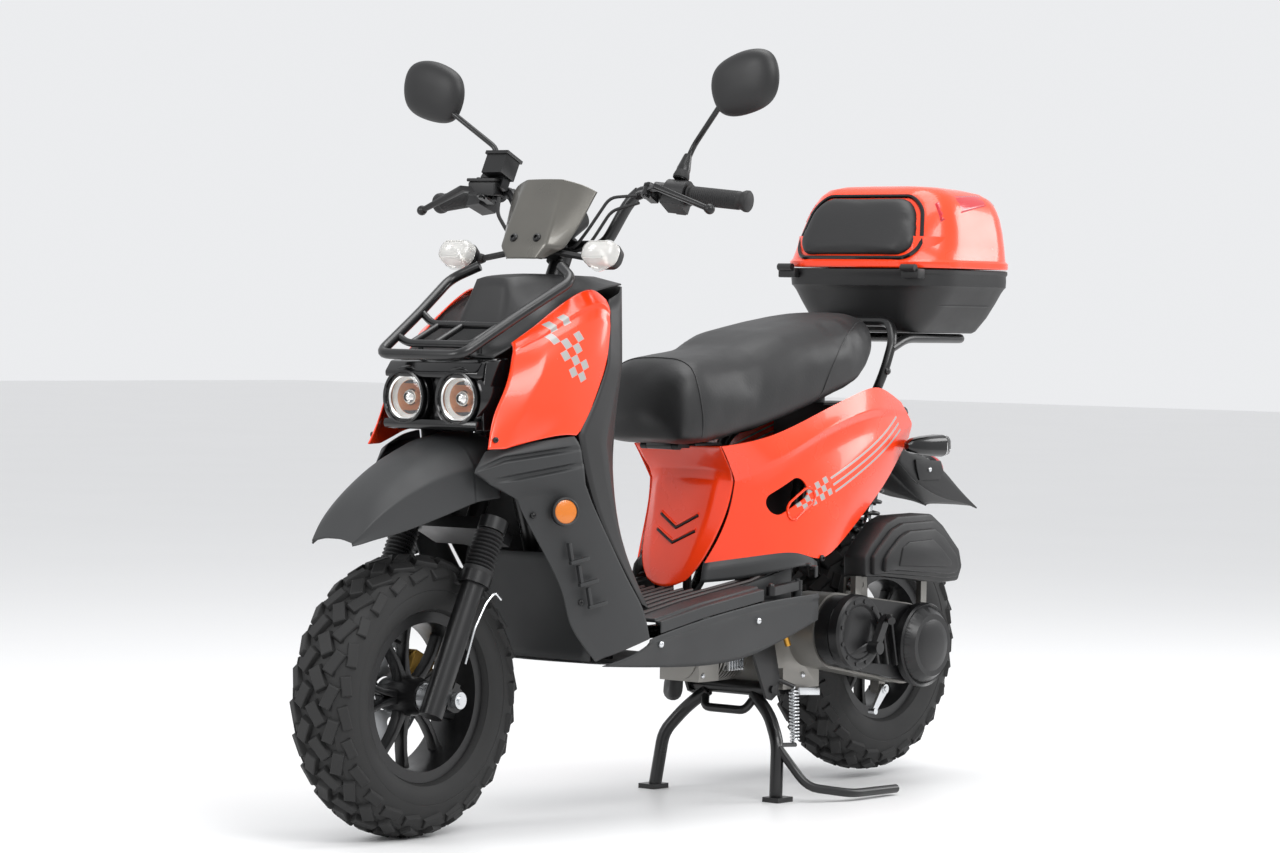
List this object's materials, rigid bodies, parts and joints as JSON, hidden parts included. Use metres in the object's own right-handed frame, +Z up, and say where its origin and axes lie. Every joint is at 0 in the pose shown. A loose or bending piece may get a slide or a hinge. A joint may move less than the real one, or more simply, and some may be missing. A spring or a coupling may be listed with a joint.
{
  "type": "moped scooter",
  "caption": "Step-through moped scooter with twin headlights, raked fork, swinging engine, centre stand, luggage racks and a top box with a backrest.",
  "frame": {"origin": "centre of the scooter's length and width, on the ground", "axes": "+X points forward, +Y to the rider's left, +Z up"},
  "size_m": [1.811, 0.8524, 1.3123],
  "materials": {
    "black_metal": "satin",
    "orange_plastic": "gloss",
    "black_plastic": "matte",
    "grey_plastic": "satin",
    "lamp_glass": "gloss",
    "amber_lens": "gloss",
    "smoked_plastic": "gloss",
    "rubber": "matte",
    "tyre": "matte",
    "cast_aluminium": "satin",
    "black_aluminium": "satin",
    "steel": "satin",
    "exhaust_steel": "matte",
    "seat_cover": "matte",
    "red_plastic": "gloss",
    "yellow_plastic": "gloss"
  },
  "bodies": {
    "chassis": {"main_frame": "black_metal", "front_rack": "black_metal", "headlight_panel": "black_plastic", "headlights": "lamp_glass", "front_side_panels": "orange_plastic", "front_cowl": "black_plastic", "leg_shield": "grey_plastic", "front_fender": "grey_plastic", "floorboard": "grey_plastic", "lower_covers": "grey_plastic", "seat_bucket": "black_plastic", "rear_side_panels": "orange_plastic", "centre_panel": "orange_plastic", "fuel_tank": "black_plastic", "rear_rack": "black_metal", "top_box_base": "black_plastic", "tail_unit": "black_plastic"},
    "steering": {"steering_stem": "steel", "fork_gaiters": "rubber", "handlebar": "black_metal", "instrument_pod": "black_plastic", "flyscreen": "smoked_plastic", "switch_housings": "black_plastic", "brake_master_cylinder": "black_aluminium", "left_grip": "rubber", "front_indicators": "amber_lens", "control_cables": "rubber", "mirror_stems": "black_metal"},
    "throttle": {"throttle_grip": "rubber"},
    "lever_left": {"left_lever": "black_aluminium"},
    "lever_right": {"right_lever": "black_aluminium"},
    "mirror_left": {"left_mirror": "black_plastic"},
    "mirror_right": {"right_mirror": "black_plastic"},
    "horn": {"horn_button": "yellow_plastic"},
    "start": {"start_button": "red_plastic"},
    "indicator": {"indicator_switch": "black_plastic"},
    "fork_slider": {"fork_lowers": "black_aluminium", "front_caliper": "black_aluminium", "front_axle": "steel"},
    "front_wheel": {"front_tyre": "tyre", "front_rim": "black_aluminium", "front_brake_disc": "steel"},
    "engine_unit": {"engine": "cast_aluminium", "cvt_cover": "black_aluminium", "airbox": "black_plastic", "exhaust": "exhaust_steel"},
    "kick": {"kick_lever": "steel"},
    "brake": {"brake_arm": "steel"},
    "rear_wheel": {"rear_tyre": "tyre", "rear_rim": "black_aluminium"},
    "shock_bodies": {"shock_uppers": "black_metal", "shock_springs": "steel"},
    "shock_rods": {"shock_lowers": "steel"},
    "stand": {"centre_stand": "black_metal", "stand_spring": "steel"},
    "lid": {"top_box_lid": "orange_plastic", "backrest_pad": "seat_cover"},
    "seat": {"seat": "seat_cover"},
    "peg_left": {"left_peg": "black_aluminium"},
    "peg_right": {"right_peg": "black_aluminium"}
  },
  "joints": [
    {"name": "steering", "type": "hinge", "parent": "chassis", "child": "steering", "pos_m": [0.64884, 0, 0.22467], "axis": [-0.4305, 0, 0.9026], "range_deg": [-35, 35]},
    {"name": "fork_slide", "type": "slide", "parent": "steering", "child": "fork_slider", "axis": [-0.4305, 0, 0.9026], "range_m": [0, 0.05], "stiffness_N_per_m": 9000, "springref_m": -0.06, "deforming": ["fork_gaiters"]},
    {"name": "front_wheel_spin", "type": "hinge", "parent": "fork_slider", "child": "front_wheel", "pos_m": [0.6705, 0, 0.235], "axis": [0, 1, 0], "continuous": true},
    {"name": "rear_swing", "type": "hinge", "parent": "chassis", "child": "engine_unit", "pos_m": [-0.1795, 0, 0.34], "axis": [0, 1, 0], "range_deg": [0, 4.5], "deforming": ["shock_springs"]},
    {"name": "rear_wheel_spin", "type": "hinge", "parent": "engine_unit", "child": "rear_wheel", "pos_m": [-0.6195, 0, 0.254], "axis": [0, 1, 0], "continuous": true},
    {"name": "shock_top_pivot", "type": "hinge", "parent": "chassis", "child": "shock_bodies", "pos_m": [-0.5345, 0.096, 0.648], "axis": [0, 1, 0], "range_deg": [-2.15, 0]},
    {"name": "shock_foot_pivot", "type": "hinge", "parent": "engine_unit", "child": "shock_rods", "pos_m": [-0.4595, 0.096, 0.378], "axis": [0, 1, 0], "range_deg": [-6.65, 0]},
    {"name": "stand_pivot", "type": "hinge", "parent": "chassis", "child": "stand", "pos_m": [-0.2145, 0, 0.196], "axis": [0, 1, 0], "range_deg": [0, 70], "deforming": ["stand_spring"]},
    {"name": "kick_start", "type": "hinge", "parent": "engine_unit", "child": "kick", "pos_m": [-0.3675, 0, 0.272], "axis": [0, -1, 0], "range_deg": [0, 50], "stiffness_Nm_per_rad": 4, "springref_deg": -22.92},
    {"name": "rear_brake_arm", "type": "hinge", "parent": "engine_unit", "child": "brake", "pos_m": [-0.5445, 0, 0.178], "axis": [0, 1, 0], "range_deg": [0, 25]},
    {"name": "seat_hinge", "type": "hinge", "parent": "chassis", "child": "seat", "pos_m": [0.0065, 0, 0.64], "axis": [0, 1, 0], "range_deg": [0, 60]},
    {"name": "box_lid_hinge", "type": "hinge", "parent": "chassis", "child": "lid", "pos_m": [-0.5435, 0, 0.97], "axis": [0, 1, 0], "range_deg": [0, 70]},
    {"name": "left_peg_hinge", "type": "hinge", "parent": "chassis", "child": "peg_left", "pos_m": [-0.1915, 0.162, 0.391], "axis": [0, 0, 1], "range_deg": [0, 75]},
    {"name": "right_peg_hinge", "type": "hinge", "parent": "chassis", "child": "peg_right", "pos_m": [-0.1915, -0.162, 0.391], "axis": [0, 0, -1], "range_deg": [0, 75]},
    {"name": "throttle_twist", "type": "hinge", "parent": "steering", "child": "throttle", "pos_m": [0.25649, -0.15, 1.08674], "axis": [-0.1963, -0.9761, -0.0936], "range_deg": [0, 70], "stiffness_Nm_per_rad": 0.3, "springref_deg": -17.19},
    {"name": "left_brake_lever", "type": "hinge", "parent": "steering", "child": "lever_left", "pos_m": [0.28416, 0.186, 1.08442], "axis": [-0.4305, 0, 0.9026], "range_deg": [0, 18], "stiffness_Nm_per_rad": 1.5, "springref_deg": -17.19},
    {"name": "right_brake_lever", "type": "hinge", "parent": "steering", "child": "lever_right", "pos_m": [0.28416, -0.186, 1.08442], "axis": [0.4305, 0, -0.9026], "range_deg": [0, 18], "stiffness_Nm_per_rad": 1.5, "springref_deg": -17.19},
    {"name": "left_mirror_joint", "type": "hinge", "parent": "steering", "child": "mirror_left", "pos_m": [0.24202, 0.324, 1.24713], "axis": [0, 1, 0], "range_deg": [-12, 12]},
    {"name": "right_mirror_joint", "type": "hinge", "parent": "steering", "child": "mirror_right", "pos_m": [0.24202, -0.324, 1.24713], "axis": [0, 1, 0], "range_deg": [-12, 12]},
    {"name": "horn_press", "type": "slide", "parent": "steering", "child": "horn", "axis": [0.881, 0.2174, 0.4202], "range_m": [0, 0.002], "stiffness_N_per_m": 600, "springref_m": -0.002},
    {"name": "start_press", "type": "slide", "parent": "steering", "child": "start", "axis": [0.881, -0.2174, 0.4202], "range_m": [0, 0.002], "stiffness_N_per_m": 600, "springref_m": -0.002},
    {"name": "indicator_slide", "type": "slide", "parent": "steering", "child": "indicator", "axis": [-0.1963, 0.9761, -0.0936], "range_m": [-0.003, 0.003]}
  ],
  "couplings": [
    {"joint": "shock_top_pivot", "follows": "rear_swing", "ratio": -0.46724},
    {"joint": "shock_foot_pivot", "follows": "rear_swing", "ratio": -1.4672},
    {"joint": "rear_brake_arm", "follows": "left_brake_lever", "ratio": 1.25}
  ]
}
